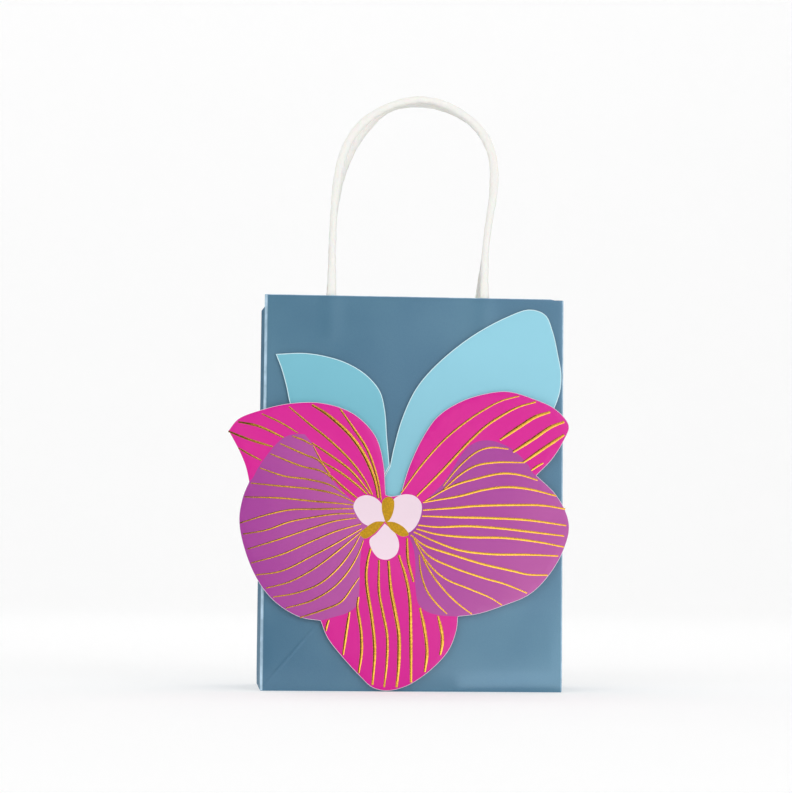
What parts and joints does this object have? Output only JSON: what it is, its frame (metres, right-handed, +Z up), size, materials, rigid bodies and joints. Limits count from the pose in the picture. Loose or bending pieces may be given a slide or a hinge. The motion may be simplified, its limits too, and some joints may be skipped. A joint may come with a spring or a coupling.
{
  "type": "gift bag",
  "caption": "Open paper gift bag with two twisted paper handles and a layered die-cut orchid standing off its front face.",
  "frame": {"origin": "centre of the bag's base, on the surface it stands on", "axes": "+Z up, the flower faces -Y, +X to the right of someone who looks at the flower"},
  "size_m": [0.1437, 0.066, 0.258],
  "materials": {
    "bag_paper": "steel blue pearl laminate, satin",
    "handle_cord": "white twisted paper",
    "patch_paper": "plain white paper",
    "base_board": "grey board",
    "leaf_card": "light blue card, matt",
    "flower_card": "pink and purple print with gold foil veins",
    "foam_pad": "white foam"
  },
  "bodies": {
    "bag": {"front_panel": "bag_paper", "back_panel": "bag_paper", "left_gusset": "bag_paper", "right_gusset": "bag_paper", "side_seam_tab": "bag_paper", "front_hem": "bag_paper", "back_hem": "bag_paper", "left_hem": "bag_paper", "right_hem": "bag_paper", "front_base_flap": "bag_paper", "back_base_flap": "bag_paper", "left_base_flap": "bag_paper", "right_base_flap": "bag_paper", "front_handle_ends": "handle_cord", "front_handle_patch": "patch_paper", "back_handle_ends": "handle_cord", "back_handle_patch": "patch_paper", "left_leaf_card": "leaf_card", "right_leaf_card": "leaf_card", "flower_card": "flower_card", "left_leaf_pads": "foam_pad", "right_leaf_pads": "foam_pad", "flower_pads": "foam_pad"},
    "base_board": {"base_board": "base_board"},
    "front_handle": {"front_handle": "handle_cord"},
    "back_handle": {"back_handle": "handle_cord"}
  },
  "joints": [
    {"name": "front_handle_fold", "type": "hinge", "parent": "bag", "child": "front_handle", "pos_m": [0, -0.03175, 0.166], "axis": [1, 0, 0], "range_deg": [0, 165]},
    {"name": "back_handle_fold", "type": "hinge", "parent": "bag", "child": "back_handle", "pos_m": [0, 0.03175, 0.166], "axis": [-1, 0, 0], "range_deg": [0, 165]},
    {"name": "base_board_lift", "type": "slide", "parent": "bag", "child": "base_board", "axis": [0, 0, 1], "range_m": [0, 0.1415]}
  ]
}
